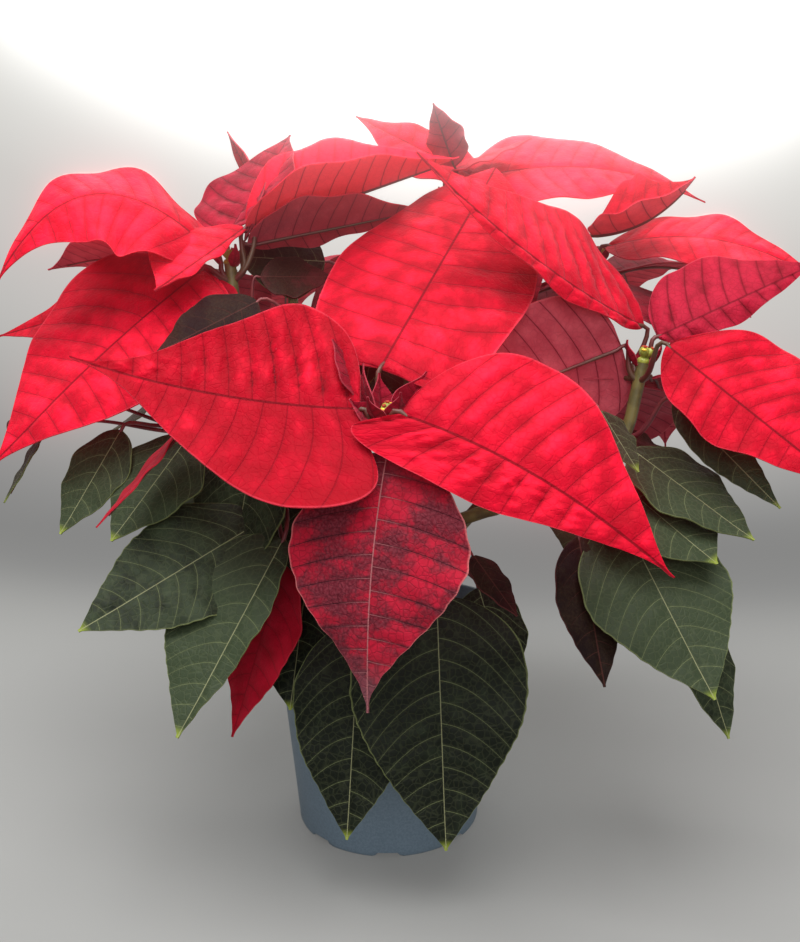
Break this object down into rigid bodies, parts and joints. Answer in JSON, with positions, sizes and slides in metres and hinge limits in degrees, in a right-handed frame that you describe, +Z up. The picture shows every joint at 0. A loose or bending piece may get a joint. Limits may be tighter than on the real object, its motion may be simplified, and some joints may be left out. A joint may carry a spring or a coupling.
{
  "type": "potted poinsettia",
  "caption": "Red poinsettia with drooping lobed green leaves and rosettes of red bracts, growing from a tapered plastic nursery pot.",
  "frame": {"origin": "centre of the pot's flat foot, on the surface that it stands on", "axes": "+Z up along the pot's axis, -Y towards the side that the picture was taken from, +X to its right"},
  "size_m": [0.4233, 0.3414, 0.3748],
  "materials": {
    "blue_grey_plastic": "satin moulded",
    "peat": "crumbly and damp",
    "woody_bark": "rough",
    "green_leaf": "soft, quilted between veins",
    "red_bract": "soft, quilted between veins",
    "cups": "smooth and waxy"
  },
  "bodies": {
    "root": {"pot": "blue_grey_plastic", "soil": "peat", "main_stem": "woody_bark", "shoot_front": "green_leaf", "shoot_left": "green_leaf", "shoot_right": "green_leaf", "shoot_top": "green_leaf", "shoot_back_left": "green_leaf", "shoot_back_right": "green_leaf", "bracts_front": "red_bract", "bracts_left": "red_bract", "bracts_right": "red_bract", "bracts_top": "red_bract", "bracts_back_left": "red_bract", "bracts_back_right": "red_bract", "cups_front": "cups", "cups_left": "cups", "cups_right": "cups", "cups_top": "cups", "cups_back_left": "cups", "cups_back_right": "cups"}
  },
  "joints": []
}
